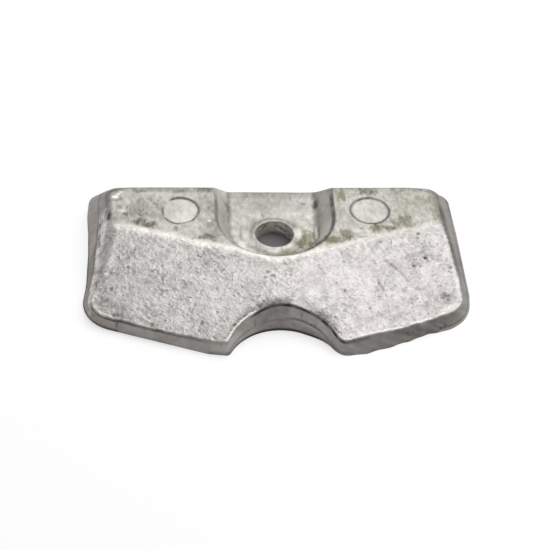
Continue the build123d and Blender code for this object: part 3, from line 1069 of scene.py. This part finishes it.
    # The bump is deepest on the shoulders
    depth = add_node(tree, "ShaderNodeMath", {"operation": "MULTIPLY_ADD"}, {
        0: marks["rough"], 1: 0.7, 2: 0.3})
    depth = add_node(tree, "ShaderNodeMath", {"operation": "MULTIPLY"}, {
        0: texture, 1: depth.outputs[0]})
    bump = add_node(tree, "ShaderNodeBump", {}, {
        "Strength": 1.0, "Distance": BUMP_DEPTH * MM, "Height": depth.outputs[0]})
    shader = add_node(tree, "ShaderNodeBsdfPrincipled", {}, {
        "Base Color": colour, "Metallic": 0.9, "Roughness": 0.55,
        "Normal": bump.outputs[0]})
    add_node(tree, "ShaderNodeOutputMaterial", {}, {"Surface": shader.outputs["BSDF"]})
    return material


# ---------------------------------------------------------------- studio

def link(thing):
    """Puts an object into the scene."""
    bpy.context.scene.collection.objects.link(thing)
    return thing


def make_disc(name, reach, level, corners, material):
    """A flat round sheet that faces up."""
    turns = np.linspace(0, 2 * pi, corners, endpoint=False)
    mesh = bpy.data.meshes.new(name)
    around = [(reach * cos(t), reach * sin(t), level) for t in turns]
    mesh.from_pydata(around, [], [tuple(range(corners))])
    mesh.materials.append(material)
    return link(bpy.data.objects.new(name, mesh))


def floor_paper():
    """Pale paper, white to the eye and to the metal, which keeps the shadow."""
    material = bpy.data.materials.new("floor_paper")
    material.use_nodes = True
    tree = material.node_tree
    tree.nodes.clear()
    ray = add_node(tree, "ShaderNodeLightPath", {}, {})
    seen = ray.outputs["Is Camera Ray"]
    for kind in ("Is Glossy Ray", "Is Transmission Ray"):
        seen = add_node(tree, "ShaderNodeMath", {"operation": "MAXIMUM"}, {
            0: seen, 1: ray.outputs[kind]}).outputs[0]
    strength = add_node(tree, "ShaderNodeMath", {"operation": "MULTIPLY"}, {
        0: seen, 1: FLOOR_LIFT})
    paper = add_node(tree, "ShaderNodeBsdfDiffuse", {}, {"Color": linear("E8E8E8")})
    lift = add_node(tree, "ShaderNodeEmission", {}, {"Strength": strength.outputs[0]})
    both = add_node(tree, "ShaderNodeAddShader", {}, {
        0: paper.outputs["BSDF"], 1: lift.outputs["Emission"]})
    add_node(tree, "ShaderNodeOutputMaterial", {}, {"Surface": both.outputs["Shader"]})
    return material


def shade_card():
    """Dull grey card under the hole, a painted shadow, which keeps the hole from showing the white
    floor.
    """
    material = bpy.data.materials.new("shade_card")
    material.use_nodes = True
    shader = material.node_tree.nodes["Principled BSDF"]
    shader.inputs["Base Color"].default_value = linear("706C6E")
    shader.inputs["Roughness"].default_value = 0.8
    return material


def make_lamp(name, place, aim, size, watts):
    """A softbox that faces a point."""
    data = bpy.data.lights.new(name, "AREA")
    data.shape = "RECTANGLE"
    data.size, data.size_y = size
    data.energy = watts
    lamp = link(bpy.data.objects.new(name, data))
    lamp.location = place
    lamp.rotation_euler = (Vector(aim) - Vector(place)).to_track_quat("-Z", "Y").to_euler()


def make_world():
    """An even white room around the part."""
    world = bpy.data.worlds.new("studio")
    world.use_nodes = True
    tree = world.node_tree
    tree.nodes.clear()
    room = add_node(tree, "ShaderNodeBackground", {}, {
        "Color": linear("FFFFFF"), "Strength": ROOM_LIGHT})
    add_node(tree, "ShaderNodeOutputWorld", {}, {"Surface": room.outputs["Background"]})
    bpy.context.scene.world = world


def make_camera():
    """The camera, at its place and turned by azimuth, elevation and roll."""
    data = bpy.data.cameras.new("camera")
    data.lens, data.sensor_width = LENS, SENSOR
    camera = link(bpy.data.objects.new("camera", data))
    a, e = CAMERA_AZIMUTH, CAMERA_ELEVATION
    back = Vector((sin(a) * cos(e), -cos(a) * cos(e), sin(e)))
    turn = back.to_track_quat("Z", "Y").to_matrix() @ Matrix.Rotation(CAMERA_ROLL, 3, "Z")
    camera.matrix_world = Matrix.Translation(Vector(CAMERA_PLACE) * MM) @ turn.to_4x4()
    bpy.context.scene.camera = camera


mesh = make_casting()
mesh.materials.append(cast_aluminium())
casting = link(bpy.data.objects.new("cast_body", mesh))
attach(casting, "root")
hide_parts("anode_casting")

floor = make_disc("floor", FLOOR_REACH, FLOOR_LEVEL, 96, floor_paper())
card = make_disc("hole_shade", CARD_REACH, CARD_LEVEL, 48, shade_card())
make_world()
make_camera()
make_lamp("overhead_softbox", SOFTBOX_PLACE, (0, 0, 0), SOFTBOX_SIZE, SOFTBOX_WATTS)
bpy.context.scene.view_settings.view_transform = "Standard"
